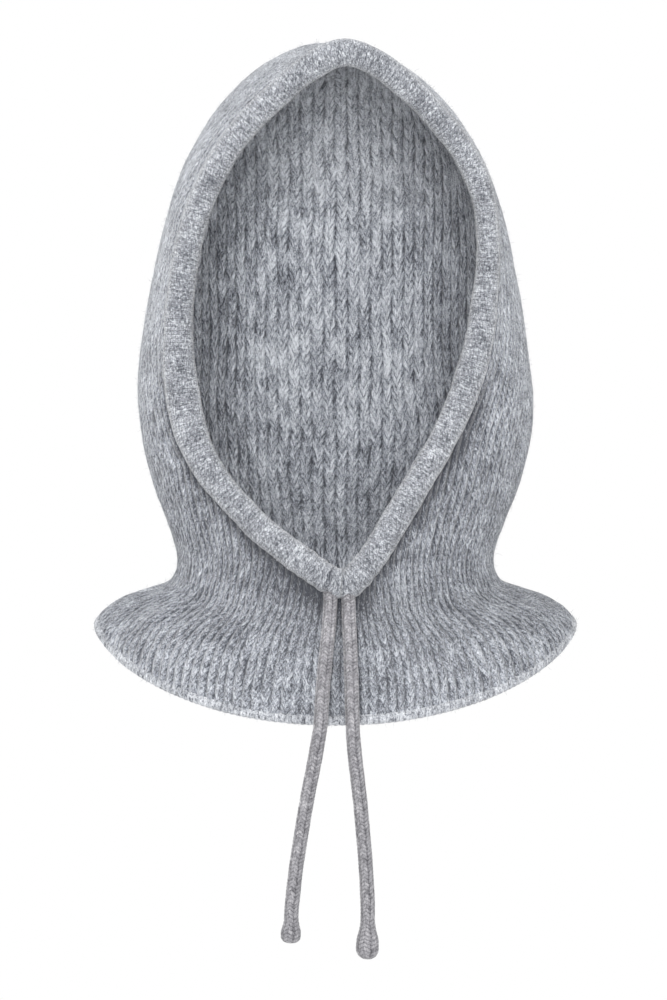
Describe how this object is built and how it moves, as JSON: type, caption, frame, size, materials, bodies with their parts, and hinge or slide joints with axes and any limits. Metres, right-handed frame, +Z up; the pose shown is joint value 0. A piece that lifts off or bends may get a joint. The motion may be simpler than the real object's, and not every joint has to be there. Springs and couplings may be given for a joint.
{
  "type": "knitted snood hood",
  "caption": "Ribbed knit hood with a narrow neck and a short flared cape, a tubular hem round the face opening and a knitted drawstring with free ends.",
  "frame": {"origin": "where the top of the head touches the inside of the crown, in the hood's worn form", "axes": "+Z up along the head and neck, -Y out of the face opening, +X to the right as seen from the front"},
  "size_m": [0.2883, 0.2575, 0.5295],
  "materials": {
    "rib_knit": "brushed heather grey rib knit, soft and matt with a fuzzy halo",
    "bound_edge": "bound-off edge of the same yarn, slightly paler",
    "jersey_hem": "fine jersey knit of the same yarn, stitches running round the tube",
    "knitted_cord": "fine smooth knitted cord, slightly warmer grey"
  },
  "bodies": {
    "root": {"knit_body": "rib_knit", "hem_edge": "bound_edge", "face_casing": "jersey_hem", "drawstring_core": "knitted_cord", "cord_left": "knitted_cord", "cord_right": "knitted_cord", "cord_tip_left": "knitted_cord", "cord_tip_right": "knitted_cord"}
  },
  "joints": []
}
